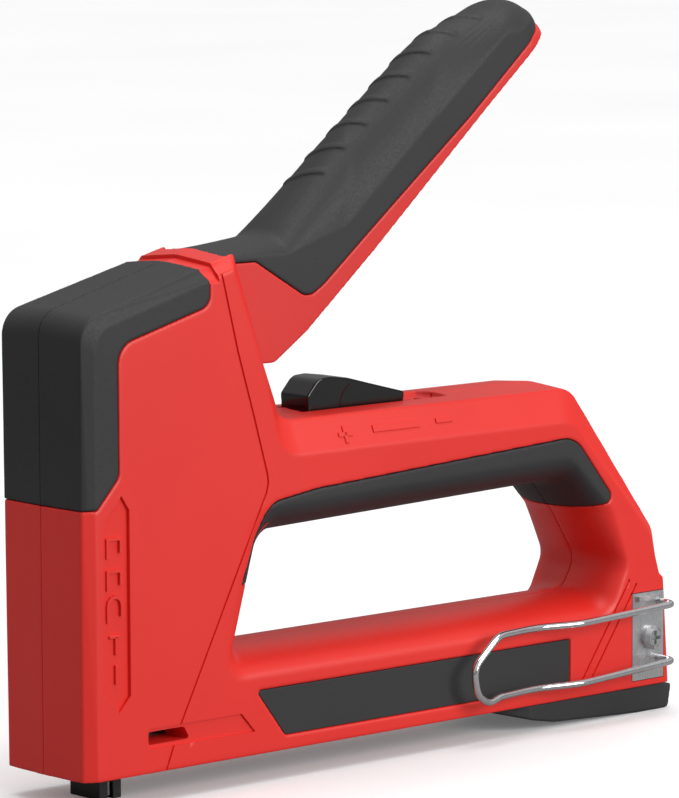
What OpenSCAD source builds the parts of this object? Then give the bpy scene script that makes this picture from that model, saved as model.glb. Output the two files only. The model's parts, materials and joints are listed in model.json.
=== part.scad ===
// Hand-powered staple gun.
// Origin: the middle of the staple outlet, on the plane that the nose rests on.
// +X runs to the rear of the tool, +Y to its right-hand side and +Z up.

/* [Body] */
// Overall width of the two housing halves
body_w = 34; // [32:0.5:36]
// Height of the housing's underside above the nose plane
base_z = 7.5; // [7:0.1:8]
// Distance from the driver's line to the front face
front_x = 16.5; // [16:0.5:18]
// Thickness of the soft bumper and grip skins on the sides
skin_t = 2.5; // [2:0.1:3]

/* [Lever] */
// Pivot's distance behind the driver's line
pivot_x = 32; // [31.5:0.1:32.5]
// Pivot's height
pivot_z = 114; // [113.5:0.1:114.5]
// Diameter of the pivot pin
pivot_d = 6; // [5:0.5:6.5]
// Width of the lever
lever_w = 24; // [22:0.5:24.5]
// Angle of the open lever above the horizontal
lever_angle = 40.6; // [40:0.1:41]

/* [Driver] */
// Thickness of the driver blade
blade_t = 1.2; // [1:0.1:1.3]
// Width of the driver blade
blade_w = 9.8; // [9:0.1:10]
// Height of the striker's underside at rest
striker_z = 30; // [29:0.5:31]
// Diameter of the striker's stem
stem_d = 7; // [6:0.5:7]
// Outer diameter of the mainspring
spring_od = 15; // [14:0.5:16]

/* [Magazine] */
// Outer width of a staple's crown
crown_w = 10.6; // [10:0.1:10.6]
// Length of a full strip of staples
strip_l = 84; // [60:1:90]
// Width of the steel channel outside
channel_w = 13.2; // [13:0.1:13.2]

/* [Belt hook] */
// Diameter of the hook's wire
wire_d = 1.9; // [1.6:0.1:2.0]

/* [Hidden] */

RED = [0.80, 0.16, 0.14];
BLACK = [0.16, 0.16, 0.17];
STEEL = [0.70, 0.71, 0.73];
CHROME = [0.85, 0.86, 0.88];
ZINC = [0.62, 0.63, 0.64];

round_fn = 64;
corner_steps = 4;
gap = 0.3;
half_w = body_w / 2;
half_lever = lever_w / 2;
rim_y = half_w - 1.3;
core_y = half_w - skin_t;

// ---------------------------------------------------------------- outlines
// Each corner of an outline is [x, z, fillet radius].

// Seam line of the housing, in the plane between its two halves
CREST = [
  [-front_x, base_z, 0], [189, base_z, 0], [187, 37, 0], [185.6, 38, 0],
  [183.8, 50.5, 8], [154, 92.6, 8], [51, 92.9, 5], [46, 108, 8], [34.5, 136.9, 0],
  [-front_x, 122.7, 7]];
// The same corners where the top, front and back faces meet the edge bevel, with the
// distance from the seam that the edge has there
RIM = [
  [0.6 - front_x, base_z, 0], [188.8, base_z, 0], [186.8, 37, 0], [185.3, 38, 0],
  [183.5, 50.5, 8], [153.6, 91.6, 8], [51, 91.8, 5], [44.8, 108, 8], [35, 135.6, 0],
  [0.6 - front_x, 121.9, 7]];
RIM_Y = [14.9, 15.6, 15.4, 15.2, 14.6, 13, 13, 13, 13.5, rim_y];
// The same corners on the flat side
FACE = [
  [4.2 - front_x, base_z, 0], [187.6, base_z, 0], [185.6, 37, 0], [184.2, 38, 0],
  [180.6, 49.6, 8], [150.5, 83, 8], [48.5, 83, 8], [41.6, 107.4, 8], [32.6, 131.9, 0],
  [4.2 - front_x, 119.4, 7]];

// Hand opening at the seam, and on the flat side
HOLE_CREST = [
  [35, 34.2, 3], [163, 34.2, 5], [168.2, 42.6, 6], [159.6, 56, 8], [151.6, 65.4, 5],
  [46, 62.4, 9]];
HOLE_FACE = [
  [27.5, 27, 6], [166.5, 27, 8], [173, 41.4, 6], [167.6, 57, 8], [150.6, 74.2, 9],
  [38, 71.2, 9]];

// Soft bumper around the front and top, and soft grip around the hand opening
BUMPER = [
  [-20, 75.4, 0], [-12, 75.4, 0], [-5, 83, 4], [-5, 115.4, 6], [24.6, 123.4, 3.5],
  [24.6, 129.4, 3], [20.4, 140, 0], [-20, 140, 0]];
PAD = [
  [34.6, 51.6, 0], [100, 50, 0], [150, 56.5, 0], [167, 60.2, 2], [152, 78.7, 9],
  [60, 73.8, 3], [44, 71.6, 7]];
PAD_DEPTH = 5;
BUMPER_CORE = [
  [2.9 - front_x, 60], [2.9 - front_x, 117], [-9, 121.2], [28, 132.1], [28, 60]];

LABEL = [[48.8, 11.4, 0], [150.2, 11.4, 0], [150.2, 23.9, 0], [39.3, 23.9, 0]];
WINDOW = [[3.7, 14.7, 0], [17.3, 14.7, 0], [15.5, 18, 0], [3.7, 18, 0]];

// Hollows inside the housing
COLUMN_ROOM = [
  [-13, 24], [18, 24], [32, 62], [40, 84], [41, 101], [33, 121], [29, 131.6], [-8, 118.9],
  [-13, 113.5]];
LEVER_SLOT = [
  [22, 128], [31, 131], [31, 145], [75, 145], [75, 93], [47, 93], [39, 96], [26, 110]];
HANDLE_ROOM = [[55, 71], [142, 75], [148, 88.6], [60, 88.6], [55, 84]];
BAYS = [[26, 60], [63, 98], [101, 136], [139, 172]];
BAY_Z = [10.5, 25];
SLOT_Z = 22.3;

// ---------------------------------------------------------------- lever outlines
// Crest of the soft lever grip, in the middle plane, and its edge on the sides
GRIP_CREST = [
  [33, 135.4, 0], [54, 138.4, 9], [83, 164, 40], [113, 187.4, 30], [140, 197.1, 12],
  [152, 189.8, 3], [149.4, 188.9, 0], [142, 185.4, 0]];
GRIP_SIDE = [
  [33, 134.2, 0], [56, 133, 9], [71, 132.6, 9], [103, 160.5, 30], [130, 185.4, 8],
  [139.4, 188.6, 2], [137.6, 184.8, 0], [133, 178, 0]];
// Joint line between the red frame and the soft grip, from the tip to the column
JOINT_LINE = [
  [118.6, 166.4, 0], [83.4, 138.7, 0], [67, 125.6, 6], [61.5, 122.2, 5], [44, 132.6, 0],
  [36, 132.7, 0]];
// Underside of the red lever frame and its nose inside the column
FRAME_UNDER = [
  [35, 132.8, 0], [29, 124, 5], [27, 107, 4], [50, 106.5, 3], [61, 113.8, 0], [84, 132.9, 0],
  [124, 167.9, 0], [144, 184.9, 9], [151.4, 189, 0], [149.6, 190.4, 0], [142, 186.6, 0]];
// Hidden spine of the frame under the grip, and the hollow that the thumb slide nests in
SPINE = [
  [40, 118], [84, 134], [124, 170], [133, 182], [124, 182.4], [84, 150.8], [66, 137.4],
  [56, 131.6], [41, 129.4]];
LEVER_ROOM = [
  [45, 100], [70, 90], [150, 160], [129, 178], [122, 177.6], [84, 147.8], [67.5, 134.8],
  [56.6, 128.6], [45, 126.6]];
// What is cut away in front of the lever's cheeks, around the pivot's bosses
CHEEK_EDGE = [[0, 90], [41.2, 90], [41.2, 108], [37.2, 126], [0, 126]];

// ---------------------------------------------------------------- functions
function unit(v) = v / norm(v);
function xz(p) = [p[0], p[1]];
function lerp(a, b, t) = a + (b - a) * t;
// Angle from a to b, between -180 and 180 degrees
function turn(a, b) = let (d = b - a) d - 360 * floor((d + 180) / 360);
// Points of one filleted corner, between its neighbours before and after
function corner(before, p, after) =
  let (u = unit(xz(before) - xz(p)), v = unit(xz(after) - xz(p)),
       half = acos(max(-1, min(1, u * v))) / 2, r = p[2])
  r == 0 ? [xz(p)] :
  let (centre = xz(p) + unit(u + v) * r / sin(half), reach = r / tan(half),
       start = xz(p) + u * reach - centre, stop = xz(p) + v * reach - centre,
       a = atan2(start[1], start[0]), sweep = turn(a, atan2(stop[1], stop[0])))
  [for (i = [0:corner_steps])
    centre + r * [cos(a + sweep * i / corner_steps), sin(a + sweep * i / corner_steps)]];
function rounded(path) =
  let (n = len(path))
  [for (i = [0:n - 1]) each corner(path[(i + n - 1) % n], path[i], path[(i + 1) % n])];
// Outline moved outwards by d, keeping its corners (anticlockwise outlines)
function grown(path, d) =
  let (n = len(path))
  [for (i = [0:n - 1])
    let (a = unit(xz(path[i]) - xz(path[(i + n - 1) % n])),
         b = unit(xz(path[(i + 1) % n]) - xz(path[i])),
         na = [a[1], -a[0]], nb = [b[1], -b[0]], m = (na + nb) / (1 + na * nb))
    [path[i][0] + m[0] * d, path[i][1] + m[1] * d, path[i][2] + d]];
function reversed(path) = [for (i = [len(path) - 1:-1:0]) path[i]];
function mixed(a, b, t) = [for (i = [0:len(a) - 1]) lerp(a[i], b[i], t)];
// Share of the way from the middle plane's outline to the side's, round like an ellipse
function bulge(y, half) = 1 - sqrt(max(0, 1 - pow(y / half, 2)));
// One value for each point of a rounded outline, from one value for each corner
function spread(path, values) = [for (i = [0:len(path) - 1])
  each [for (k = [0:path[i][2] == 0 ? 0 : corner_steps]) values[i]]];
// Ring of 3-D points from an outline and its distances from the middle plane
function ring(pts, ys) = [for (i = [0:len(pts) - 1]) [pts[i][0], ys[i], pts[i][1]]];
function flat_ring(pts, y) = ring(pts, [for (p = pts) y]);

// Frames along a route: direction, side and up at each point
function along(route, i) =
  let (n = len(route)) unit(route[min(i + 1, n - 1)] - route[max(i - 1, 0)]);
// Side vectors carried along a route without twist
function sides(route, i = 0, last = [0, 0, 1], out = []) =
  i == len(route) ? out :
  let (t = along(route, i), s = last - t * (t * last), side = unit(s))
  sides(route, i + 1, side, concat(out, [side]));
function helix(turns, r, pitch, steps) =
  [for (i = [0:turns * steps])
    [r * cos(360 * i / steps), r * sin(360 * i / steps), pitch * i / steps]];

// ---------------------------------------------------------------- building blocks
// Solid skinned over rings of equal length
module skinned(rings) {
  n = len(rings[0]);
  last = len(rings) - 1;
  points = [for (r = rings) each r];
  walls = [for (k = [0:last - 1]) for (i = [0:n - 1])
    let (a = k * n + i, b = k * n + (i + 1) % n)
    each [[a, b, b + n], [a, b + n, a + n]]];
  caps = [[for (i = [0:n - 1]) n - 1 - i], [for (i = [0:n - 1]) last * n + i]];
  polyhedron(points, concat(walls, caps), convexity = 10);
}
// Round wire along a route
module wire(route, d, sides_n = 8) {
  side = sides(route, last = unit([0.31, 0.27, 0.91]));
  skinned([for (i = [0:len(route) - 1])
    let (t = along(route, i), up = cross(t, side[i]))
    [for (k = [0:sides_n - 1])
      route[i] + d / 2 * (cos(360 * k / sides_n) * side[i] + sin(360 * k / sides_n) * up)]]);
}
// Outline in X and Z, extruded from y0 to y1
module slab(pts, y0, y1) {
  translate([0, y1, 0]) rotate([90, 0, 0]) linear_extrude(y1 - y0) polygon(pts);
}
// Box from its lowest to its highest corner
module block(low, high) {
  translate(low) cube(high - low);
}
// Part of a shape that lies between y0 and y1
module between(y0, y1) {
  difference() {
    children();
    block([-50, y0 - 10, -10], [250, y0, 250]);
    block([-50, y1, -10], [250, y1 + 10, 250]);
  }
}
// Round bar along Y at x, z
module bar(x, z, y0, y1, r) {
  translate([x, y1, z]) rotate([90, 0, 0]) cylinder(h = y1 - y0, r = r, $fn = round_fn);
}
module left_side() {
  mirror([0, 1, 0]) children();
}

// ---------------------------------------------------------------- housing
SCREWS = [[-8, 16.5], [14, 117], [30, 78], [62, 80.2], [112, 79.9], [178, 34.4], [24.5, 30]];
screw_r = 1.6;
head_r = 2.8;
head_y = half_w - 3.4;
boss_r = 3.4;
thread_end = -11;

module body_shape() {
  crest = rounded(CREST);
  face = rounded(FACE);
  between(0, half_w) skinned([
    flat_ring(crest, -2), flat_ring(crest, 0), ring(rounded(RIM), spread(RIM, RIM_Y)),
    flat_ring(face, half_w), flat_ring(face, half_w + 2)]);
}
OPENING_Y = [0, 5, 9, 12, 14.2, 15.8, 16.7, 17];
module opening_shape() {
  levels = [for (y = OPENING_Y) y * half_w / 17];
  middle = rounded(HOLE_CREST);
  outside = rounded(HOLE_FACE);
  below = flat_ring(middle, -1);
  above = flat_ring(outside, half_w + 1);
  skinned(concat([below],
    [for (y = levels) flat_ring(mixed(middle, outside, bulge(y, half_w)), y)], [above]));
}
module bumper_zone() {
  difference() {
    slab(rounded(BUMPER), -1, half_w + 1);
    slab(BUMPER_CORE, -2, core_y);
  }
}
module pad_zone() {
  intersection() {
    slab(rounded(PAD), -1, half_w + 1);
    union() {
      block([0, core_y, 0], [200, half_w + 2, 150]);
      slab(rounded(grown(HOLE_CREST, PAD_DEPTH)), -2, core_y + 1);
    }
  }
}
module rooms() {
  room_y = half_w - 4;
  slab(COLUMN_ROOM, -1, room_y);
  slab(LEVER_SLOT, -1, room_y);
  slab(HANDLE_ROOM, -1, room_y - 1);
  for (bay = BAYS)
    block([bay[0], -1, BAY_Z[0]], [bay[1], room_y, BAY_Z[1]]);
}
module bosses() {
  for (s = SCREWS)
    bar(s[0], s[1], 0, half_w - 3, boss_r);
  bar(pivot_x, pivot_z, 7, half_w - 3, pivot_d / 2 + 1.8);
}
// Ledge that carries the spring seat and the striker's guide ribs
module seats() {
  block([-14, 8.4, 80.6], [14, half_w - 3, 83.4]);
  block([-14, 8.4, 86.1], [14, half_w - 3, 88.2]);
}
module housing_half() {
  difference() {
    union() {
      difference() {
        body_shape();
        rooms();
      }
      intersection() {
        body_shape();
        union() {
          bosses();
          seats();
        }
      }
    }
    opening_shape();
    bumper_zone();
    pad_zone();
    block([4.5, -1, 0], [200, channel_w / 2 + 0.2, SLOT_Z]);
    block([-3.6, -1, 0], [4.5, 7.2, 26]);
    slab(rounded(LABEL), half_w - 1.2, half_w + 1);
    slab(rounded(WINDOW), 5, half_w + 1);
    bar(pivot_x, pivot_z, -1, half_w - 2.5, pivot_d / 2);
    slide_slot();
  }
}
module slide_slot() {
  block([64, -1, 91.2], [115, 6.2, 96]);
  block([70, -1, 88], [112, 3.4, 92]);
}
module left_housing() {
  color(RED) left_side() difference() {
    housing_half();
    for (s = SCREWS)
      bar(s[0], s[1], -1, -thread_end, screw_r);
    block([173.6, half_w - 1.5, 9.2], [186, half_w + 1, 33.7]);
    for (z = HOOK_Z)
      bar(HOOK_X, z, 9.5, half_w, wire_d / 2 + 0.05);
    bar(HOOK_SCREW[0], HOOK_SCREW[1], 8, half_w, 1.5);
  }
}
module right_housing() {
  color(RED) difference() {
    housing_half();
    for (s = SCREWS) {
      bar(s[0], s[1], -1, half_w + 1, screw_r + 0.1);
      bar(s[0], s[1], head_y, half_w + 1, head_r + 0.2);
    }
  }
}
module bumper_half() {
  intersection() {
    body_shape();
    bumper_zone();
  }
}
module left_bumper() {
  color(BLACK) left_side() bumper_half();
}
module right_bumper() {
  color(BLACK) bumper_half();
}
module pad_half() {
  difference() {
    intersection() {
      body_shape();
      pad_zone();
    }
    opening_shape();
  }
}
module left_grip_pad() {
  color(BLACK) left_side() pad_half();
}
module right_grip_pad() {
  color(BLACK) pad_half();
}
module label_plate() {
  slab(rounded(LABEL), half_w - 1.2, half_w - 0.3);
}
module left_label_plate() {
  color(BLACK) left_side() label_plate();
}
module right_label_plate() {
  color(BLACK) label_plate();
}
// Screws driven from the right, with a cross recess
module cross_recess(r, depth) {
  for (a = [0, 90])
    rotate([0, 0, a]) translate([-r, -r / 4, -depth]) cube([2 * r, r / 2, depth + 1]);
}
module housing_screws() {
  color(ZINC) for (s = SCREWS)
    translate([s[0], 0, s[1]]) rotate([-90, 0, 0]) difference() {
      union() {
        translate([0, 0, thread_end + 0.5]) cylinder(h = head_y - thread_end, r = screw_r,
          $fn = round_fn);
        translate([0, 0, head_y]) cylinder(h = 2, r = head_r, $fn = round_fn);
      }
      translate([0, 0, head_y + 2]) cross_recess(1.7, 1.2);
    }
}

// ---------------------------------------------------------------- nose and driver
slot_front = -0.8;
slot_back = 1;
nose_half = 5.9;
nose_top = 9.5;
module nose_piece() {
  color(BLACK) difference() {
    union() {
      block([-3.4, -nose_half, 0], [4.2, nose_half, base_z]);
      block([-3.4, -7, base_z], [4.2, 7, nose_top]);
    }
    block([slot_front, -5.5, -1], [slot_back, 5.5, nose_top + 1]);
    block([slot_front, -9, -1], [slot_back, 9, 4.5]);
    translate([0.4, 0, 0]) for (s = [-1, 1])
      translate([4, s * nose_half, -1]) rotate([0, 0, 45]) cube([1.6, 1.6, 12], center = true);
  }
}
module guide_plate() {
  color(STEEL) difference() {
    union() {
      block([-3.4, -7, nose_top], [slot_front, 7, 26]);
      for (s = [-1, 1])
        block([slot_front, s > 0 ? 5.4 : -7, nose_top], [0.9, s > 0 ? 7 : -5.4, 26]);
    }
    translate([-4, 0, 20]) rotate([0, 90, 0]) cylinder(h = 4, r = 1.2, $fn = round_fn);
  }
}
module shock_pad() {
  color(BLACK) difference() {
    block([-8, -12.5, 26.2], [10, 12.5, striker_z - 0.1]);
    block([-1, -5.6, 20], [1, 5.6, 35]);
  }
}
head_z = 93.5;
head_h = 4;
flange_z = striker_z + 14;
seat_z = 83.5;
seat_h = 2.5;
module striker() {
  color(STEEL) difference() {
    union() {
      block([-5.5, -7, striker_z], [5.5, 7, flange_z]);
      translate([0, 0, flange_z]) cylinder(h = 2.5, r = spring_od / 2 + 0.6, $fn = round_fn);
      translate([0, 0, flange_z]) cylinder(h = head_z - flange_z + 1, r = stem_d / 2,
        $fn = round_fn);
      block([-6, -6.6, head_z], [8.5, 6.6, head_z + head_h]);
    }
    block([-blade_t / 2, -blade_w / 2, striker_z - 1], [blade_t / 2, blade_w / 2, striker_z + 11]);
    translate([-7, 0, striker_z + 6]) rotate([0, 90, 0]) cylinder(h = 14, r = 1.5, $fn = round_fn);
  }
}
module driver_blade() {
  color(STEEL) difference() {
    block([-blade_t / 2, -blade_w / 2, 0.8], [blade_t / 2, blade_w / 2, striker_z + 11]);
    translate([-2, 0, striker_z + 6]) rotate([0, 90, 0]) cylinder(h = 4, r = 1.5, $fn = round_fn);
  }
}
module driver_pin() {
  color(STEEL) translate([-5.5, 0, striker_z + 6]) rotate([0, 90, 0])
    cylinder(h = 11, r = 1.5, $fn = round_fn);
}
module spring_seat() {
  color(STEEL) difference() {
    block([-12.5, -12.5, seat_z], [12.5, 12.5, seat_z + seat_h]);
    translate([0, 0, seat_z - 1]) cylinder(h = seat_h + 2, r = stem_d / 2 + gap, $fn = round_fn);
  }
}
module coil(turns, od, d, length, steps = 18, around = 8) {
  pitch = (length - d) / turns;
  translate([0, 0, d / 2]) wire(helix(turns, (od - d) / 2, pitch, steps), d, around);
}
module mainspring() {
  low = flange_z + 2.5;
  color(STEEL) translate([0, 0, low + 0.1]) coil(6.5, spring_od, 2.2, seat_z - low - 0.2);
}

// ---------------------------------------------------------------- lever
finger_r = 36;
finger_drop = 40;
tip_r = 2.5;
tip_x = pivot_x - finger_r * cos(finger_drop);
tip_z = pivot_z - finger_r * sin(finger_drop);
elbow_x = tip_x + 10.6;
module lever_pivot_pin() {
  color(STEEL) bar(pivot_x, pivot_z, -(half_w - 2.6), half_w - 2.6, pivot_d / 2 - 0.02);
}
// Plan shape of the lever, square to its own length, with a round end
tip_centre = [140.6, 180.4];
module lever_plan(half) {
  translate([tip_centre[0], 0, tip_centre[1]]) rotate([0, -lever_angle, 0]) {
    translate([-200, -half, -60]) cube([200, 2 * half, 120]);
    cylinder(h = 120, r = half, center = true, $fn = 96);
  }
}
module grip_shape() {
  foot = [for (p = JOINT_LINE) p - [0, 1.2, 0]];
  middle = rounded(reversed(concat(GRIP_CREST, foot)));
  outside = rounded(reversed(concat(GRIP_SIDE, foot)));
  levels = [0.25, 0.5, 0.7, 0.85, 0.95, 1];
  sheets = [for (t = concat(-reversed(levels), [0], levels))
    flat_ring(mixed(middle, outside, bulge(t, 1.02)), t * half_lever)];
  end = mixed(middle, outside, bulge(1, 1.02));
  between(-half_lever, half_lever) skinned(
    concat([flat_ring(end, -half_lever - 2)], sheets, [flat_ring(end, half_lever + 2)]));
}
module lever_grip() {
  color(BLACK) difference() {
    grip_shape();
    slab(rounded(concat(FRAME_UNDER, JOINT_LINE)), -half_lever - 1, half_lever + 1);
    slab(SPINE, -9.5, 9.5);
  }
}
module lever_frame() {
  color(RED) difference() {
    intersection() {
      union() {
        slab(rounded(concat(FRAME_UNDER, JOINT_LINE)), -half_lever - 1, half_lever + 1);
        slab(SPINE, -9.5, 9.5);
      }
      lever_plan(half_lever);
    }
    slab(LEVER_ROOM, -7.3, 7.3);
    block([0, 3.9, 90], [44.5, 7.9, 126]);
    block([0, -7.9, 90], [44.5, -3.9, 126]);
    slab(CHEEK_EDGE, 7.8, 20);
    slab(CHEEK_EDGE, -20, -7.8);
    bar(pivot_x, pivot_z, -5, 5, pivot_d / 2 + 0.05);
    bar(RIVET[0], RIVET[1], -5, 5, 2);
  }
}
RIVET = [38.5, 118.5];
fork_y = [3.9, 6.6];
// One bar of the fork, from y0 to y1
module fork_bar(y0, y1) {
  hull() {
    bar(pivot_x, pivot_z, y0, y1, 6.4);
    bar(RIVET[0], RIVET[1], y0, y1, 4.2);
    bar(elbow_x, tip_z, y0, y1, tip_r);
  }
  hull() {
    bar(elbow_x, tip_z, y0, y1, tip_r);
    bar(tip_x, tip_z, y0, y1, tip_r);
  }
}
module lifting_fork() {
  color(STEEL) difference() {
    union() {
      fork_bar(fork_y[0], fork_y[1]);
      fork_bar(-fork_y[1], -fork_y[0]);
    }
    bar(pivot_x, pivot_z, -9, 9, pivot_d / 2 + 0.05);
    bar(RIVET[0], RIVET[1], -9, 9, 2);
  }
}
module fork_rivet() {
  color(STEEL) {
    bar(RIVET[0], RIVET[1], -fork_y[1], fork_y[1], 2);
    for (s = [-1, 1])
      bar(RIVET[0], RIVET[1], s > 0 ? fork_y[1] : -fork_y[1] - 1, s > 0 ? fork_y[1] + 1 : -fork_y[1],
        3);
  }
}
module lever_return_spring() {
  turns = 3;
  d = 1.2;
  r = 6;
  y0 = 8.2;
  pitch = 1.25;
  coil_pts = [for (i = [0:turns * 20])
    let (a = 200 + 360 * i / 20)
    [pivot_x + r * cos(a), y0 + pitch * i / 20, pivot_z + r * sin(a)]];
  last = coil_pts[len(coil_pts) - 1];
  color(STEEL) wire(concat([last + [-4.1, 0, 11.2]], [for (i = [0:len(coil_pts) - 1])
    coil_pts[len(coil_pts) - 1 - i]], [coil_pts[0] + [4.8, 0, -13.2]]), d, 6);
}

// ---------------------------------------------------------------- magazine
module magazine_channel() {
  w = channel_w / 2;
  color(STEEL) difference() {
    block([1.4, -w, 9], [183, w, 22]);
    block([0, 1 - w, 0], [190, w - 1, 21]);
    slab(rounded(WINDOW), -w - 1, w + 1);
    block([-1, -w - 1, 0], [4.6, w + 1, nose_top + 0.1]);
  }
}
module staple_strip() {
  w = crown_w / 2;
  leg_t = 1.1;
  color(ZINC) difference() {
    block([1.5, -w, 10.7], [1.5 + strip_l, w, 20.7]);
    block([0, leg_t - w, 0], [4 + strip_l, w - leg_t, 20.7 - leg_t]);
  }
}
rail_back = 188;
module staple_rail() {
  color(STEEL) difference() {
    block([2, -3.9, 10.4], [rail_back, 3.9, 19.3]);
    block([0, -3, 9], [rail_back - 1.5, 3, 18.4]);
    block([20, -1.4, 18], [rail_back - 20, 1.4, 20]);
  }
}
FOOT = [
  [122, 7.1, 0], [138.5, 2.9, 6], [146, 1.5, 10], [177, 0, 4], [189.6, 0, 1.4], [190.8, 6.6, 0.6]];
module magazine_foot() {
  color(BLACK) difference() {
    union() {
      slab(rounded(concat(FOOT, [[187, 7.1, 0]])), -15.2, 15.2);
      block([183.6, -3, 6.5], [186.4, 3, 16]);
      block([188.2, -6.4, 6], [190.6, 6.4, 21]);
    }
    for (s = [-1, 1]) for (x = [150, 158, 166])
      block([x, s * 9 - 3.5, 4.6], [x + 5.5, s * 9 + 3.5, 8]);
    bar(185, 13, -4, 4, 1);
  }
}
module foot_pin() {
  color(STEEL) bar(185, 13, -3, 3, 1);
}
module magazine_latch() {
  color(STEEL) {
    block([175, -12, 7.1], [190, -8, 7.35]);
    block([175, 8, 7.1], [190, 12, 7.35]);
  }
}
module pusher_rod() {
  color(STEEL) translate([88, 0, 14.2]) rotate([0, 90, 0])
    cylinder(h = 183.6 - 88, r = 1, $fn = 32);
}
module pusher() {
  x0 = 1.5 + strip_l + 0.1;
  color(BLACK) difference() {
    union() {
      block([x0, -5.2, 19.6], [x0 + 14, 5.2, 20.7]);
      for (s = [-1, 1])
        block([x0, s > 0 ? 4.2 : -5.2, 11], [x0 + 14, s > 0 ? 5.2 : -4.2, 20]);
      block([x0 + 2, -1.2, 17.2], [x0 + 12, 1.2, 20]);
      block([x0 + 2, -2.7, 11.4], [x0 + 12, 2.7, 17.4]);
    }
    translate([x0 - 1, 0, 14.2]) rotate([0, 90, 0]) cylinder(h = 20, r = 1.1, $fn = 32);
  }
}
module pusher_spring() {
  x0 = 1.5 + strip_l + 12.3;
  color(STEEL) translate([x0, 0, 14.2]) rotate([0, 90, 0])
    coil(22, 4.6, 0.7, 183.4 - x0, 10, 6);
}

// ---------------------------------------------------------------- power slide
SLIDE = [
  [67, 91.5, 0], [100.4, 91.5, 0], [100.8, 94.4, 0], [84, 98.6, 14], [76, 100.4, 4],
  [70.6, 100.2, 5], [66.8, 96, 0]];
module power_slider() {
  color(BLACK) {
    slab(rounded(SLIDE), -5.4, 5.4);
    block([73, -3, 88.2], [97, 3, 93]);
  }
}
module power_link() {
  color(STEEL) difference() {
    block([60, -5, 86.4], [99, 5, 88.2]);
    translate([85, 0, 80]) cylinder(h = 12, r = 1.5, $fn = 32);
  }
}
module link_screw() {
  color(ZINC) translate([85, 0, 0]) {
    translate([0, 0, 84.9]) cylinder(h = 1.5, r = 2.6, $fn = 32);
    translate([0, 0, 86]) cylinder(h = 2.2, r = 1.5, $fn = 32);
  }
}
module detent_spring() {
  color(STEEL) slab([[64.4, 82.8], [98, 82.8], [108, 85.6], [110, 84.6], [110.4, 85.2], [108, 86.3],
    [97.8, 83.4], [64.4, 83.4]], -4, 4);
}

// ---------------------------------------------------------------- belt hook
HOOK_X = 183.8;
HOOK_Z = [30.5, 14.8];
HOOK_SCREW = [180.5, 21];
module belt_hook_plate() {
  y = half_w - 1.5;
  color(ZINC) left_side() difference() {
    union() {
      block([173.8, y, 9.4], [185.8, y + 1.5, 33.5]);
      block([175.4, y + 1, 31.2], [184.2, y + 2.6, 32.6]);
    }
    for (z = HOOK_Z)
      bar(HOOK_X, z, y - 1, y + 5, wire_d / 2 + 0.05);
    bar(HOOK_SCREW[0], HOOK_SCREW[1], y - 1, y + 5, 1.5);
  }
}
module belt_hook_screw() {
  color(ZINC) left_side() translate([HOOK_SCREW[0], 0, HOOK_SCREW[1]]) rotate([-90, 0, 0])
    difference() {
      union() {
        translate([0, 0, 8.2]) cylinder(h = half_w - 8.2, r = 1.5, $fn = round_fn);
        translate([0, 0, half_w]) cylinder(h = 1.2, r = 3.3, $fn = round_fn);
        translate([0, 0, half_w + 1.2]) cylinder(h = 1, r1 = 3.3, r2 = 2.2, $fn = round_fn);
      }
      translate([0, 0, half_w + 2.2]) cross_recess(1.9, 1.3);
    }
}
// Corners of the wire loop: X, distance out from the middle plane, Z and bend radius
HOOK = [
  [HOOK_X, 11, HOOK_Z[0], 0], [HOOK_X, 23, HOOK_Z[0], 2.6], [148.1, 23, 29.1, 9], [134.6, 19.4, 29.2, 9],
  [119, 21.8, 29.2, 3.5], [109.4, 22.4, 21.6, 3], [110.6, 22.6, 14.4, 3], [115, 22.4, 11.6, 3],
  [119.5, 21.8, 12.8, 4], [134.6, 19.4, 12.8, 9], [148.1, 23, 12.9, 9], [HOOK_X, 23, HOOK_Z[1], 2.6],
  [HOOK_X, 11, HOOK_Z[1], 0]];
// Bend of a 3-D route at one corner
function bend(a, p, b, r) =
  let (u = unit(a - p), v = unit(b - p), half = acos(u * v) / 2)
  r == 0 ? [p] :
  let (reach = min(r / tan(half), norm(a - p) * 0.45, norm(b - p) * 0.45))
  [for (i = [0:6]) let (t = i / 6)
    p + u * reach * pow(1 - t, 2) + v * reach * pow(t, 2)];
function place(c) = [c[0], -c[1], c[2]];
module belt_hook_wire() {
  last = len(HOOK) - 1;
  route = [for (i = [0:last])
    each bend(place(HOOK[max(i - 1, 0)]), place(HOOK[i]), place(HOOK[min(i + 1, last)]), HOOK[i][3])];
  color(CHROME) wire(route, wire_d, 10);
}

left_housing();
right_housing();
left_bumper();
right_bumper();
left_grip_pad();
right_grip_pad();
left_label_plate();
right_label_plate();
housing_screws();
nose_piece();
guide_plate();
spring_seat();
shock_pad();
lever_pivot_pin();
belt_hook_plate();
belt_hook_screw();
belt_hook_wire();
magazine_channel();
staple_strip();
detent_spring();
lever_return_spring();
lever_frame();
lever_grip();
lifting_fork();
fork_rivet();
striker();
driver_blade();
driver_pin();
mainspring();
staple_rail();
magazine_foot();
foot_pin();
magazine_latch();
pusher_rod();
pusher();
pusher_spring();
power_slider();
power_link();
link_screw();
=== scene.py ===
"""Looks of a hand staple gun: moulded housing, soft skins, lever, slide, hook and metal parts.

Outlines are in millimetres, as (x, z, fillet radius) corners in the plane between the two
housing halves. Distances across the tool are y, from that plane outwards.
"""

import json
import math

import bmesh
import bpy
import numpy as np
from mathutils import Matrix, Vector


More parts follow.
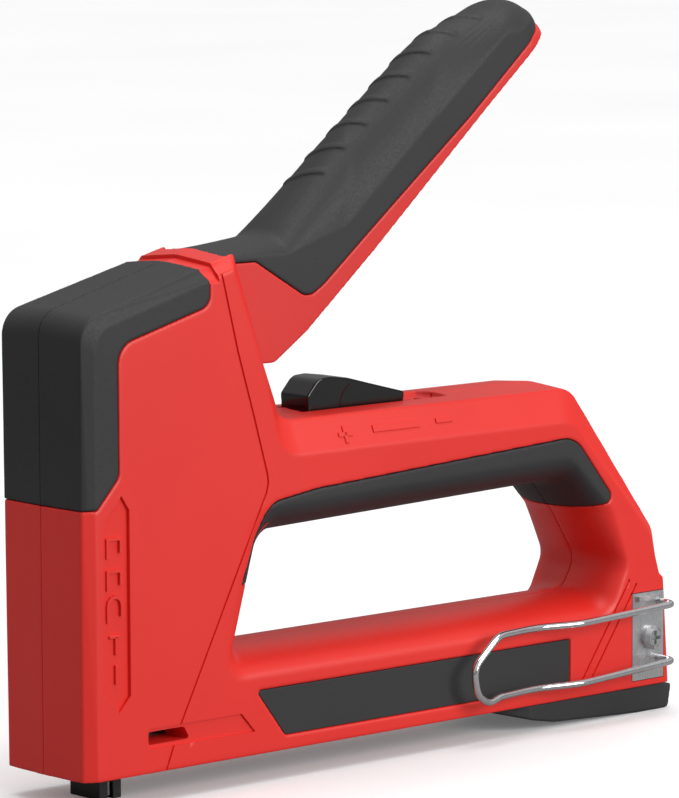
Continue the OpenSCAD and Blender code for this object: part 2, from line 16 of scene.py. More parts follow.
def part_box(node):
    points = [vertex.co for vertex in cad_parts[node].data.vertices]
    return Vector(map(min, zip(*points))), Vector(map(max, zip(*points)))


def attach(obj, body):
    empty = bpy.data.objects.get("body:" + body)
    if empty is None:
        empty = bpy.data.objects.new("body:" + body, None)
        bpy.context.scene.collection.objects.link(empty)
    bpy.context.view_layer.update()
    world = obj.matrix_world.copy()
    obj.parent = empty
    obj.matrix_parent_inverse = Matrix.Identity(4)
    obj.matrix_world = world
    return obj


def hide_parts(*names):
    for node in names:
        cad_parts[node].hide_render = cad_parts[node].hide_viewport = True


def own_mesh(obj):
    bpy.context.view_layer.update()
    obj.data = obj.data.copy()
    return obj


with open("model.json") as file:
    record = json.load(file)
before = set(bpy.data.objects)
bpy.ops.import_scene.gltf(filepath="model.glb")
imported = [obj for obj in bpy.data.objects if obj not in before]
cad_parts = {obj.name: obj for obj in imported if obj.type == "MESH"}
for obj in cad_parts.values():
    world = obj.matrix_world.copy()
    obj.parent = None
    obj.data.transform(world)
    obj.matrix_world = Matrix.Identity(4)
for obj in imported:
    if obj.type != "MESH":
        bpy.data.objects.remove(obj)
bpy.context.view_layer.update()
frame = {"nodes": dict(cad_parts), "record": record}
nodes = frame["nodes"]

MM = 0.001
ARC_STEPS = 12

# ------------------------------------------------------------------ sizes, from the frame
left_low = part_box("left_housing")[0] / MM
HALF_W = -left_low.y
FRONT_X = left_low.x
BASE_Z = left_low.z
HALF_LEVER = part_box("lever_grip")[1].y / MM
CORE_Y = HALF_W - 2.5
PIVOT = sum(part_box("lever_pivot_pin"), Vector()) / 2 / MM

# ------------------------------------------------------------------ housing outlines
CREST = [
    (FRONT_X, BASE_Z, 0), (189, BASE_Z, 0), (187, 37, 0), (185.6, 38, 0), (183.8, 50.5, 8),
    (154, 92.6, 8), (51, 92.9, 5), (46, 108, 8), (34.5, 136.9, 0), (FRONT_X, 122.7, 7)]
RIM = [
    (FRONT_X + 0.6, BASE_Z, 0), (188.8, BASE_Z, 0), (186.8, 37, 0), (185.3, 38, 0),
    (183.5, 50.5, 8), (153.6, 91.6, 8), (51, 91.8, 5), (44.8, 108, 8), (35, 135.6, 0),
    (FRONT_X + 0.6, 121.9, 7)]
RIM_Y = [14.9, 15.6, 15.4, 15.2, 14.6, 13, 13, 13, 13.5, 15.7]
FACE = [
    (FRONT_X + 4.2, BASE_Z, 0), (187.6, BASE_Z, 0), (185.6, 37, 0), (184.2, 38, 0),
    (180.6, 49.6, 8), (150.5, 83, 8), (48.5, 83, 8), (41.6, 107.4, 8), (32.6, 131.9, 0),
    (FRONT_X + 4.2, 119.4, 7)]
HOLE_CREST = [
    (35, 34.2, 3), (163, 34.2, 5), (168.2, 42.6, 6), (159.6, 56, 8), (151.6, 65.4, 5),
    (46, 62.4, 9)]
HOLE_FACE = [
    (27.5, 27, 6), (166.5, 27, 8), (173, 41.4, 6), (167.6, 57, 8), (150.6, 74.2, 9),
    (38, 71.2, 9)]
BUMPER = [
    (-20, 75.4, 0), (-12, 75.4, 0), (-5, 83, 4), (-5, 115.4, 6), (24.6, 123.4, 3.5),
    (24.6, 129.4, 3), (20.4, 140, 0), (-20, 140, 0)]
BUMPER_CORE = [
    (FRONT_X + 2.9, 60, 0), (FRONT_X + 2.9, 117, 0), (-9, 121.2, 0), (28, 132.1, 0),
    (28, 60, 0)]
PAD = [
    (34.6, 51.6, 0), (100, 50, 0), (150, 56.5, 0), (167, 60.2, 2), (152, 78.7, 9),
    (60, 73.8, 3), (44, 71.6, 7)]
PAD_DEPTH = 5
LABEL = [(48.8, 11.4, 0.6), (150.2, 11.4, 0.6), (150.2, 23.9, 0.6), (39.3, 23.9, 0.6)]
WINDOW = [(3.7, 14.7, 0), (17.3, 14.7, 0), (15.5, 18, 0), (3.7, 18, 0)]
WINDOW_STEP = [(3.7, 13.7, 0), (38.5, 13.7, 0), (34, 18.8, 0), (3.7, 18.8, 0)]
COLUMN_ROOM = [
    (-13, 24, 0), (18, 24, 0), (32, 62, 0), (40, 84, 0), (41, 101, 0), (33, 121, 0),
    (29, 131.6, 0), (-8, 118.9, 0), (-13, 113.5, 0)]
LEVER_SLOT = [
    (22, 128, 0), (32.6, 131.4, 0), (32.6, 145, 0), (75, 145, 0), (75, 93, 0), (47, 93, 0),
    (39, 96, 0), (26, 110, 0)]
HANDLE_ROOM = [(55, 71, 0), (142, 75, 0), (148, 88.6, 0), (60, 88.6, 0), (55, 84, 0)]
BAYS = [(26, 60), (63, 98), (101, 136), (139, 172)]
SCREWS = [(-8, 16.5), (14, 117), (30, 78), (62, 80.2), (112, 79.9), (178, 34.4), (24.5, 30)]
# Shallow line in the side of each half, and the step beside the staple signs
PANEL_LINE = [
    (28.4, 131), (33.5, 111), (38.7, 94), (43, 79), (43.2, 77), (42.6, 74.6), (14, 19)]
PANEL_LINE_LOW = [(11.6, 13.8), (8.8, 7)]
GAUGE_STEP = [
    (-10.4, 30, 0), (-5.6, 24.2, 0), (-1.9, 28.2, 0), (-1.9, 74.6, 0), (-4.4, 78.4, 0),
    (-10.4, 72, 0)]
REAR_BAND = [[(172.4, 37.4), (154.6, 12.2)], [(175.2, 36.2), (157.8, 11.8)]]

# ------------------------------------------------------------------ lever outlines
GRIP_CREST = [
    (33, 135.4, 0), (54, 138.4, 9), (83, 164, 40), (113, 187.4, 30), (140, 197.1, 12),
    (152, 189.8, 3), (149.4, 188.9, 0), (142, 185.4, 0)]
GRIP_SIDE = [
    (33, 134.2, 0), (56, 133, 9), (71, 132.6, 9), (103, 160.5, 30), (130, 185.4, 8),
    (139.4, 188.6, 2), (137.6, 184.8, 0), (133, 178, 0)]
JOINT_LINE = [
    (118.6, 166.4, 0), (83.4, 138.7, 0), (67, 125.6, 6), (61.5, 122.2, 5), (44, 132.6, 0),
    (36, 132.7, 0)]
FRAME_UNDER = [
    (35, 132.8, 0), (29, 124, 5), (27, 107, 4), (50, 106.5, 3), (61, 113.8, 0), (84, 132.9, 0),
    (124, 167.9, 0), (144, 184.9, 9), (151.4, 189, 0), (149.6, 190.4, 0), (142, 186.6, 0)]
SPINE = [
    (40, 118, 0), (84, 134, 0), (124, 170, 0), (133, 182, 0), (124, 182.4, 0), (84, 150.8, 0),
    (66, 137.4, 0), (56, 131.6, 0), (41, 129.4, 0)]
LEVER_ROOM = [
    (45, 100, 0), (70, 90, 0), (150, 160, 0), (129, 178, 0), (122, 177.6, 0), (84, 147.8, 0),
    (67.5, 134.8, 0), (56.6, 128.6, 0), (45, 126.6, 0)]
CHEEK_EDGE = [(0, 90, 0), (41.2, 90, 0), (41.2, 108, 0), (37.2, 126, 0), (0, 126, 0)]
LEVER_ANGLE = math.radians(40.6)
RIVET = (38.5, 118.5)


# ------------------------------------------------------------------ mesh kit
def unit(v):
    return v / np.linalg.norm(v)


def rounded(path, steps=ARC_STEPS):
    """Points of an outline, each filleted corner as an arc."""
    points = []
    for i, (x, z, r) in enumerate(path):
        p = np.array((x, z), float)
        if r == 0:
            points.append(p)
            continue
        u = unit(np.array(path[i - 1][:2]) - p)
        v = unit(np.array(path[(i + 1) % len(path)][:2]) - p)
        half = math.acos(max(-1, min(1, u @ v))) / 2
        centre = p + unit(u + v) * r / math.sin(half)
        a, b = (p + w * r / math.tan(half) - centre for w in (u, v))
        start = math.atan2(a[1], a[0])
        sweep = (math.atan2(b[1], b[0]) - start + math.pi) % (2 * math.pi) - math.pi
        for t in np.linspace(start, start + sweep, steps + 1):
            points.append(centre + r * np.array((math.cos(t), math.sin(t))))
    return np.array(points)


def spread(path, values, steps=ARC_STEPS):
    """One value for each point of a rounded outline, from one for each corner."""
    return np.concatenate([[v] * (1 if c[2] == 0 else steps + 1) for c, v in zip(path, values)])


def grown(path, d):
    """An anticlockwise outline moved outwards by d, with its fillets grown too."""
    out = []
    for i, (x, z, r) in enumerate(path):
        p = np.array((x, z))
        a = unit(p - np.array(path[i - 1][:2]))
        b = unit(np.array(path[(i + 1) % len(path)][:2]) - p)
        na, nb = np.array((a[1], -a[0])), np.array((b[1], -b[0]))
        out.append((*(p + (na + nb) / (1 + na @ nb) * d), r + d if r else 0))
    return out


def ring(points, y):
    """3-D ring in millimetres from outline points and their distance y."""
    y = np.broadcast_to(y, len(points))
    return np.column_stack((points[:, 0], y, points[:, 1]))


def made(vertices, faces):
    """Mesh object from points in millimetres, its faces turned outwards."""
    mesh = bpy.data.meshes.new("piece")
    mesh.from_pydata([tuple(map(float, v)) for v in vertices], [], faces)
    b = bmesh.new()
    b.from_mesh(mesh)
    bmesh.ops.recalc_face_normals(b, faces=b.faces)
    b.to_mesh(mesh)
    b.free()
    piece = bpy.data.objects.new("piece", mesh)
    bpy.context.scene.collection.objects.link(piece)
    return piece


def skin(rings):
    """Closed solid through rings of equal length."""
    n, last = len(rings[0]), len(rings) - 1
    faces = [
        (k * n + i, k * n + (i + 1) % n, (k + 1) * n + (i + 1) % n, (k + 1) * n + i)
        for k in range(last) for i in range(n)]
    faces += [tuple(range(n)), tuple(last * n + i for i in range(n))]
    return made(np.concatenate(rings), faces)


def slab(path, y0, y1, steps=ARC_STEPS):
    """Outline carried straight across the tool from y0 to y1."""
    points = rounded(path, steps)
    return skin([ring(points, y0), ring(points, y1)])


def block(low, high):
    (x0, y0, z0), (x1, y1, z1) = low, high
    return slab([(x0, z0, 0), (x1, z0, 0), (x1, z1, 0), (x0, z1, 0)], y0, y1)


def bar(x, z, y0, y1, r, count=40):
    """Round bar across the tool."""
    turns = np.linspace(0, 2 * math.pi, count, endpoint=False)
    points = np.column_stack((x + r * np.cos(turns), z + r * np.sin(turns)))
    return skin([ring(points, y0), ring(points, y1)])


def strip(a, b, width, y0, y1):
    """Straight bar of rectangular section between two points of the side, for a groove."""
    a, b = np.array(a, float), np.array(b, float)
    along = unit(b - a)
    side = np.array((-along[1], along[0])) * width / 2
    a, b = a - along * width * 0.4, b + along * width * 0.4
    corners = [(*p, 0) for p in (a - side, b - side, b + side, a + side)]
    return slab(corners, y0, y1)


def settle(piece):
    """Applies every modifier to the mesh."""
    graph = bpy.context.evaluated_depsgraph_get()
    mesh = bpy.data.meshes.new_from_object(piece.evaluated_get(graph))
    piece.modifiers.clear()
    piece.data = mesh
    return piece


def combine(piece, operation, *tools):
    for tool in tools:
        m = piece.modifiers.new("combine", "BOOLEAN")
        m.operation, m.solver, m.object = operation, "MANIFOLD", tool
        settle(piece)
        bpy.data.objects.remove(tool)
    return piece


def cut(piece, *tools):
    return combine(piece, "DIFFERENCE", *tools)


def add(piece, *tools):
    return combine(piece, "UNION", *tools)


def common(piece, tool):
    return combine(piece, "INTERSECT", tool)


def mirrored(piece):
    """Copy on the other side of the seam plane."""
    twin = piece.copy()
    twin.data = piece.data.copy()
    twin.data.transform(Matrix.Scale(-1, 4, (0, 1, 0)))
    twin.data.flip_normals()
    bpy.context.scene.collection.objects.link(twin)
    return twin


def moulded(piece, voxel=0.4, rounds=3, keep=0.3, crisp=()):
    """Even mesh with softly broken edges, as a moulding has, then cut by the crisp tools."""
    m = piece.modifiers.new("even", "REMESH")
    m.mode, m.voxel_size = "VOXEL", voxel
    m = piece.modifiers.new("soft", "SMOOTH")
    m.factor, m.iterations = 0.5, rounds
    settle(piece)
    cut(piece, *crisp)
    m = piece.modifiers.new("light", "DECIMATE")
    m.ratio = keep
    settle(piece)
    return smooth(piece, 50)


def smooth(piece, angle):
    piece.data.shade_smooth()
    m = piece.modifiers.new("normals", "WEIGHTED_NORMAL")
    m.keep_sharp = True
    piece.data.set_sharp_from_angle(angle=math.radians(angle))
    return piece


def bevelled(piece, width, angle=28, segments=3):
    m = piece.modifiers.new("edges", "BEVEL")
    m.width, m.segments, m.limit_method = width, segments, "ANGLE"
    m.angle_limit = math.radians(angle)
    m.use_clamp_overlap = True
    m.harden_normals = True
    piece.data.shade_smooth()
    return piece


# ------------------------------------------------------------------ housing
def bulge(y):
    """Share of the way from the seam's outline to the side's, round like an ellipse."""
    return 1 - math.sqrt(max(0, 1 - (y / HALF_W) ** 2))


def body_shape():
    crest, rim, face = (rounded(p) for p in (CREST, RIM, FACE))
    body = skin([
        ring(crest, -2), ring(crest, 0), ring(rim, spread(RIM, RIM_Y)), ring(face, HALF_W),
        ring(face, HALF_W + 2)])
    return cut(
        body, block((-50, -9, -9), (250, 0, 250)), block((-50, HALF_W, -9), (250, 30, 250)))


def opening_shape():
    middle, outside = rounded(HOLE_CREST), rounded(HOLE_FACE)
    levels = [HALF_W * math.sin(a) for a in np.linspace(0, math.pi / 2, 16)]
    rings = [ring(middle + (outside - middle) * bulge(y), y) for y in levels]
    return skin([ring(middle, -1), *rings, ring(outside, HALF_W + 1)])


def bumper_zone(extra=0):
    zone = slab(grown(BUMPER, extra), -1, HALF_W + 1)
    return cut(zone, slab(BUMPER_CORE, -2, CORE_Y))


def pad_zone(extra=0):
    zone = block((0, CORE_Y, 0), (200, HALF_W + 2, 150))
    add(zone, slab(grown(HOLE_CREST, PAD_DEPTH), -2, CORE_Y + 1))
    return common(zone, slab(grown(PAD, extra), -1, HALF_W + 1))


def rooms():
    depth = HALF_W - 4
    hollow = slab(COLUMN_ROOM, -1, depth)
    add(hollow, slab(LEVER_SLOT, -1, depth + 0.02), slab(HANDLE_ROOM, -1, depth - 1))
    for x0, x1 in BAYS:
        add(hollow, block((x0, -1, 10.5), (x1, depth, 25)))
    for x, z in SCREWS:
        cut(hollow, bar(x, z, 0, HALF_W - 3, 3.4))
    cut(hollow, bar(PIVOT.x, PIVOT.z, 7, HALF_W - 3, 4.8))
    for z0, z1 in ((80.6, 83.4), (86.1, 88.2)):
        cut(hollow, block((-14, 8.4, z0), (14, HALF_W - 3, z1)))
    return hollow


def gauge_step():
    """Wedge whose floor drops towards the rear, beside the staple signs."""
    points = rounded(GAUGE_STEP)
    floor = HALF_W - 0.3 - 0.6 * (points[:, 0] + 10.4) / 8.5
    return skin([ring(points, floor), ring(points, HALF_W + 1)])


def crown_groove():
    """Low strip across the top behind the bumper, deepest at the step up to the crown."""
    points = rounded([(22, 133, 0), (27.6, 134, 0), (26.9, 139, 0), (21.4, 139, 0)])
    return skin([
        ring(points - (0, fall), y)
        for y, fall in ((-1, 0), (0, 0), (13.5, 1.3), (HALF_W, 4.9), (HALF_W + 1, 4.9))])


def housing_half():
    half = body_shape()
    cut(half, rooms(), opening_shape(), bumper_zone(0.15), pad_zone(0.15))
    # Room for the magazine and for the nose piece
    cut(half, block((4.5, -1, -1), (200, 6.8, 22.3)), block((-3.6, -1.5, -1), (4.6, 7.2, 26)))
    cut(half, slab(grown(LABEL, 0.15), HALF_W - 1.2, HALF_W + 1), slab(WINDOW, 5, HALF_W + 1))
    cut(half, bar(PIVOT.x, PIVOT.z, -1, HALF_W - 2.5, 3))
    # Trough and slot of the power slide
    cut(half, block((64, -1, 91.2), (115, 6.2, 96)), block((70, -1, 88), (112, 3.4, 92)))
    return half


def seam_line():
    """Thin slice at the seam plane, so that two halves meet at a shadow line."""
    return block((-50, -5, -9), (250, 0.1, 250))


def fine_lines():
    """Tools for the crisp steps and lines in the side and the top of a half."""
    lines = [
        strip(a, b, 0.7, HALF_W - 0.45, HALF_W + 1)
        for line in (PANEL_LINE, PANEL_LINE_LOW, *REAR_BAND) for a, b in zip(line, line[1:])]
    step = slab(WINDOW_STEP, HALF_W - 0.6, HALF_W + 1)
    return [step, gauge_step(), crown_groove(), *lines, seam_line()]


def finished(piece, name, body, slot, material, *replaced):
    piece.name = piece.data.name = name
    piece.data.transform(Matrix.Scale(MM, 4))
    piece.data.materials.clear()
    piece.data.materials.append(material)
    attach(piece, body)
    if replaced:
        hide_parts(*replaced)
    return piece


# ------------------------------------------------------------------ materials
def new_material(name):
    material = bpy.data.materials.new(name)
    material.use_nodes = True
    tree = material.node_tree
    shader = tree.nodes["Principled BSDF"]
    place = tree.nodes.new("ShaderNodeTexCoord").outputs["Object"]
    return material, tree, shader, place


def noise(tree, place, scale, detail=3, rough=0.55):
    n = tree.nodes.new("ShaderNodeTexNoise")
    n.inputs["Scale"].default_value = scale
    n.inputs["Detail"].default_value = detail
    n.inputs["Roughness"].default_value = rough
    tree.links.new(place, n.inputs["Vector"])
    return n.outputs["Fac"]


def ramp(tree, value, low, high, at=(0.3, 0.7)):
    """Colour ramp between two colours."""
    r = tree.nodes.new("ShaderNodeValToRGB")
    for element, position, colour in zip(r.color_ramp.elements, at, (low, high)):
        element.position = position
        element.color = (*colour, 1)
    tree.links.new(value, r.inputs["Fac"])
    return r.outputs["Color"]


def ranged(tree, value, low, high):
    m = tree.nodes.new("ShaderNodeMapRange")
    m.inputs["From Min"].default_value, m.inputs["From Max"].default_value = 0.3, 0.7
    m.inputs["To Min"].default_value, m.inputs["To Max"].default_value = low, high
    tree.links.new(value, m.inputs["Value"])
    return m.outputs["Result"]


def bumped(tree, shader, height, strength, distance, onto=None):
    b = tree.nodes.new("ShaderNodeBump")
    b.inputs["Strength"].default_value = strength
    b.inputs["Distance"].default_value = distance
    tree.links.new(height, b.inputs["Height"])
    if onto:
        tree.links.new(onto, b.inputs["Normal"])
    tree.links.new(b.outputs["Normal"], shader.inputs["Normal"])
    return b.outputs["Normal"]


def plastic(
        name, dark, light, rough, grain=2600, grain_strength=0.25, depth=0.00003,
        specular=0.5):
    """Moulded plastic or elastomer: fine spark-eroded grain over slow unevenness."""
    material, tree, shader, place = new_material(name)
    slow = noise(tree, place, 14, 2)
    fine = noise(tree, place, grain, 4, 0.6)
    tree.links.new(ramp(tree, slow, dark, light), shader.inputs["Base Color"])
    tree.links.new(ranged(tree, fine, rough - 0.05, rough + 0.07), shader.inputs["Roughness"])
    shader.inputs["Specular IOR Level"].default_value = specular
    waviness = bumped(tree, shader, noise(tree, place, 60, 2), 0.06, 0.0004)
    bumped(tree, shader, fine, grain_strength, depth, waviness)
    return material


def metal(name, colour, rough, brush=(40, 900, 900), spots=True):
    """Worked or plated metal: drawn lines along one direction and faint blotches."""
    material, tree, shader, place = new_material(name)
    mapping = tree.nodes.new("ShaderNodeMapping")
    mapping.inputs["Scale"].default_value = brush
    tree.links.new(place, mapping.inputs["Vector"])
    lines = noise(tree, mapping.outputs["Vector"], 5, 4, 0.7)
    blotch = noise(tree, place, 180, 4)
    low = tuple(c * 0.78 for c in colour)
    tree.links.new(ramp(tree, blotch if spots else lines, low, colour), shader.inputs["Base Color"])
    tree.links.new(ranged(tree, lines, rough * 0.75, rough * 1.3), shader.inputs["Roughness"])
    shader.inputs["Metallic"].default_value = 1
    bumped(tree, shader, lines, 0.12, 0.00002)
    return material


RED = plastic("red_nylon", (0.79, 0.021, 0.014), (0.85, 0.027, 0.018), 0.4)
LEVER_RED = plastic("lever_nylon", (0.69, 0.021, 0.016), (0.75, 0.027, 0.02), 0.42)
SOFT = plastic(
    "black_elastomer", (0.022, 0.022, 0.024), (0.03, 0.03, 0.032), 0.58, 1500, 0.5, 0.00008, 0.45)
HARD = plastic("black_nylon", (0.022, 0.022, 0.023), (0.03, 0.03, 0.031), 0.5, 1800, 0.4, 0.00005)
PLATE = plastic("panel_black", (0.02, 0.02, 0.021), (0.026, 0.026, 0.027), 0.48, 3200, 0.3)
GLOSS = plastic("polished_black", (0.006, 0.006, 0.006), (0.009, 0.009, 0.009), 0.12, 900, 0.03)
OXIDE = plastic("black_oxide", (0.012, 0.012, 0.013), (0.03, 0.03, 0.032), 0.36, 2200, 0.4)
STEEL = metal("pressed_steel", (0.62, 0.63, 0.65), 0.3)
ZINC = metal("zinc_plate", (0.72, 0.73, 0.74), 0.3, (900, 900, 60))
SPRING = metal("spring_wire", (0.42, 0.42, 0.44), 0.25, (300, 300, 300))
CHROME = metal("bright_chrome", (0.86, 0.87, 0.89), 0.07, (200, 200, 200), False)
SHINE = {
    "housing_red": RED, "lever_red": LEVER_RED, "soft_black": SOFT, "hard_black": HARD,
    "plate_black": PLATE, "gloss_black": GLOSS, "black_steel": OXIDE, "plain_steel": STEEL,
    "zinc_steel": ZINC, "spring_steel": SPRING, "chrome_wire": CHROME}

for part in frame["record"]["subparts"]:
    node = nodes[part["node"]]
    node.data.materials.clear()
    node.data.materials.append(SHINE[part["material_slot"]])
    node.data.shade_smooth()
    node.data.set_sharp_from_angle(angle=math.radians(32))

# ------------------------------------------------------------------ housing pieces
half = moulded(housing_half(), 0.4, 3, 0.3, fine_lines())
left = mirrored(half)
# Pocket for the belt hook's plate, holes for the two ends of its wire, and for its screw
cut(left, block((173.6, -30, 9.2), (186, 1.5 - HALF_W, 33.7)))
for z in (30.5, 14.8):
    cut(left, bar(183.8, z, -HALF_W, -9.5, 1))
cut(left, bar(180.5, 21, -HALF_W, -8, 1.5))
for x, z in SCREWS:
    cut(half, bar(x, z, HALF_W - 3.4, HALF_W + 1, 3))
finished(half, "right_shell", "housing", "housing_red", RED, "right_housing")
finished(left, "left_shell", "housing", "housing_red", RED, "left_housing")

bumper = moulded(common(body_shape(), bumper_zone()), 0.35, 2, 0.35, [seam_line()])
finished(mirrored(bumper), "left_nose_bumper", "housing", "soft_black", SOFT, "left_bumper")
finished(bumper, "right_nose_bumper", "housing", "soft_black", SOFT, "right_bumper")

pad = cut(common(body_shape(), pad_zone()), opening_shape())
for x in range(74, 118, 8):
    ridge = bar(x, 60.9, -2, 16, 3, count=24)
    for v in ridge.data.vertices:
        v.co.x += v.co.y * 0.45
    cut(pad, ridge)
moulded(pad, 0.35, 3, 0.4)
finished(mirrored(pad), "left_soft_grip", "housing", "soft_black", SOFT, "left_grip_pad")
finished(pad, "right_soft_grip", "housing", "soft_black", SOFT, "right_grip_pad")

plate = bevelled(slab(LABEL, HALF_W - 1.2, HALF_W - 0.35), 0.25)
settle(plate)
finished(mirrored(plate), "left_panel", "housing", "plate_black", PLATE, "left_label_plate")
finished(plate, "right_panel", "housing", "plate_black", PLATE, "right_label_plate")


# ------------------------------------------------------------------ raised signs on the sides
def rib(a, b, width, height=0.35):
    """Low raised bar between two points of the flat side."""
    a, b = np.array(a, float), np.array(b, float)
    return strip(a, b, width, HALF_W - 1.2, HALF_W - 0.25 + height)


def sign(points, width=0.8):
    """Raised line through points, as one solid."""
    pieces = [rib(a, b, width) for a, b in zip(points, points[1:])]
    return add(*pieces) if len(pieces) > 1 else pieces[0]


def staple_sign(z, round_crown=False):
    """Outline of a staple with its crown up."""
    if round_crown:
        arc = [(-6.7 + 2.2 * math.cos(a), z + 2.2 + 2.2 * math.sin(a))
               for a in np.linspace(math.pi, 0, 7)]
        return sign([(-8.9, z - 1.6), *arc, (-4.5, z - 0.2)])
    return sign([(-8.9, z - 1.6), (-8.9, z + 2.8), (-4.7, z + 2.8), (-4.7, z - 0.4)])


signs = [
    staple_sign(65), staple_sign(57), staple_sign(49, True),
    sign([(-8.2, 43.4), (-5.2, 43.4)]), sign([(-6.4, 43.2), (-6.4, 39.2)]),
    sign([(-6.4, 36), (-6.4, 31.8)])]
for i, raised in enumerate(signs):
    bevelled(raised, 0.15, segments=2)
    settle(raised)
    twin = mirrored(raised)
    finished(raised, f"right_size_sign_{i + 1}", "housing", "housing_red", RED)
    finished(twin, f"left_size_sign_{i + 1}", "housing", "housing_red", RED)

# Signs on the sloping shoulder beside the slide: more, a bar that shows the range, and less
SHOULDER = math.atan2(HALF_W - 13, 91.6 - 83)


def shoulder_mark(x0, x1, z0, z1, name):
    """Low raised bar on both shoulders, z measured up the slope from its lower edge."""
    mark = block((x0, -0.6, z0), (x1, 0.42, z1))
    lean = Matrix.Rotation(SHOULDER, 4, "X")
    mark.data.transform(Matrix.Translation((0, HALF_W, 83)) @ lean)
    bevelled(mark, 0.12, segments=2)
    settle(mark)
    twin = mirrored(mark)
    finished(mark, f"right_{name}", "housing", "housing_red", RED)
    finished(twin, f"left_{name}", "housing", "housing_red", RED)


shoulder_mark(68.4, 73.2, 3.4, 4.6, "more_sign_bar")
shoulder_mark(70.2, 71.4, 1.6, 6.4, "more_sign_post")
shoulder_mark(80.4, 96.6, 3.6, 5.6, "range_bar")
shoulder_mark(102.6, 108.4, 4, 5.4, "less_sign_bar")


# ------------------------------------------------------------------ lever
def lever_plan(half):
    """Plan of the lever with a round end, square to its length."""
    reach = 12.6
    tip = Vector((140.6, 0, 180.4))
    points = rounded([
        (-200, -half, 0), (reach, -half, half * 0.98), (reach, half, half * 0.98),
        (-200, half, 0)], 24)
    rings = [np.column_stack((points, np.full(len(points), h))) for h in (-60, 60)]
    plan = skin(rings)
    place = Matrix.Translation(tip) @ Matrix.Rotation(-LEVER_ANGLE, 4, "Y")
    plan.data.transform(place)
    return plan


def lever_shape(lift=0):
    """Grip and everything under it down to the joint line, its crest lifted by lift."""
    foot = [(x, z - 1.2, r) for x, z, r in JOINT_LINE]
    crest = [(x - lift * 0.6, z + lift * 0.8, r) for x, z, r in GRIP_CREST[1:-2]]
    crest = [GRIP_CREST[0], *crest, *GRIP_CREST[-2:]]
    middle, outside = rounded(crest + foot), rounded(GRIP_SIDE + foot)
    levels = np.sin(np.linspace(-math.pi / 2, math.pi / 2, 25)) * 0.995
    # Round like an ellipse that is 2 % wider than the lever
    rings = [
        ring(middle + (outside - middle) * (1 - math.sqrt(1 - (t / 1.02) ** 2)), t * HALF_LEVER)
        for t in levels]
    first, last = rings[0].copy(), rings[-1].copy()
    first[:, 1] -= 2
    last[:, 1] += 2
    shape = skin([first, *rings, last])
    side = HALF_LEVER
    return cut(
        shape, block((-50, side, -9), (250, 30, 250)), block((-50, -30, -9), (250, -side, 250)))


def frame_shape(extra=0):
    outline = FRAME_UNDER + [(x, z + extra, r) for x, z, r in JOINT_LINE]
    return slab(outline, -HALF_LEVER - 1, HALF_LEVER + 1)


grip = lever_shape()
cut(grip, frame_shape(0.15), slab(SPINE, -9.4, 9.4))
common(grip, lever_plan(HALF_LEVER))
# Slanted ribs across the crest
ribs = lever_shape(0.5)
bands = []
for i in range(8):
    band = block((0, -6.5, -30), (1.8, 6.5, 30))
    band.data.transform(
        Matrix.Translation((70 + 7.4 * i, 0, 152 + 5.9 * i))
        @ Matrix.Rotation(-LEVER_ANGLE, 4, "Y") @ Matrix.Rotation(math.radians(24), 4, "Z"))
    bands.append(band)
add(*bands)
common(ribs, bands[0])
cut(ribs, slab(SPINE, -9.4, 9.4))
add(grip, ribs)
moulded(grip, 0.35, 5, 0.3)
finished(grip, "lever_soft_grip", "lever", "soft_black", SOFT, "lever_grip")

lever = add(frame_shape(), slab(SPINE, -9.4, 9.4))
common(lever, lever_plan(HALF_LEVER))
cut(lever, slab(LEVER_ROOM, -7.3, 7.3))
cut(lever, block((0, 3.9, 90), (44.5, 7.9, 126)), block((0, -7.9, 90), (44.5, -3.9, 126)))
cut(lever, slab(CHEEK_EDGE, 7.8, 20), slab(CHEEK_EDGE, -20, -7.8))
# Holes of the pivot pin and of the lifting fork's rivet
cut(lever, bar(PIVOT.x, PIVOT.z, -5, 5, 3.05), bar(*RIVET, -5, 5, 2))
moulded(lever, 0.3, 8, 0.25)
finished(lever, "lever_shell", "lever", "lever_red", LEVER_RED, "lever_frame")

# ------------------------------------------------------------------ power slide
SLIDE = [
    (67, 91.5, 0), (100.4, 91.5, 0), (100.8, 94.4, 0.8), (90, 97.2, 30), (81, 99.6, 6),
    (75, 100.4, 3), (70.6, 100.2, 4), (66.8, 96, 1)]
thumb = slab(SLIDE, -5, 5, steps=16)
HUMP = [
    (67, 91.5, 0), (77.6, 91.5, 0), (78.4, 95.6, 6), (82.6, 99.3, 1), (75, 100.4, 3),
    (70.6, 100.2, 4), (66.8, 96, 1)]
add(thumb, slab(HUMP, -5.4, 5.4, steps=16), block((73, -3, 88.2), (97, 3, 93)))
moulded(thumb, 0.22, 3, 0.4)
finished(thumb, "thumb_slide", "power_slide", "gloss_black", GLOSS, "power_slider")

# ------------------------------------------------------------------ rear foot of the magazine
FOOT = [
    (122, 7.1, 0), (138.5, 2.9, 6), (146, 1.5, 10), (177, 0, 4), (189.6, 0, 1.4),
    (190.8, 6.6, 0.6), (187, 7.1, 0)]
foot = slab(FOOT, -15.2, 15.2)
chamfer = [(118, -3, 0), (146, -3, 0), (140, 9, 0), (118, 9, 0)]
for side in (-1, 1):
    wedge = slab(chamfer, 0, 12)
    wedge.data.transform(
        Matrix.Translation((138, side * 15.6, 0))
        @ Matrix.Rotation(side * math.radians(24), 4, "Z")
        @ Matrix.Translation((-138, 0 if side > 0 else -12, 0)))
    cut(foot, wedge)
add(foot, block((183.6, -3, 6.5), (186.4, 3, 16)), block((188.2, -6.4, 6), (190.6, 6.4, 21)))
cut(foot, bar(185, 13, -4, 4, 1))
moulded(foot, 0.35, 2, 0.3)
finished(foot, "rear_foot", "magazine", "hard_black", HARD, "magazine_foot")

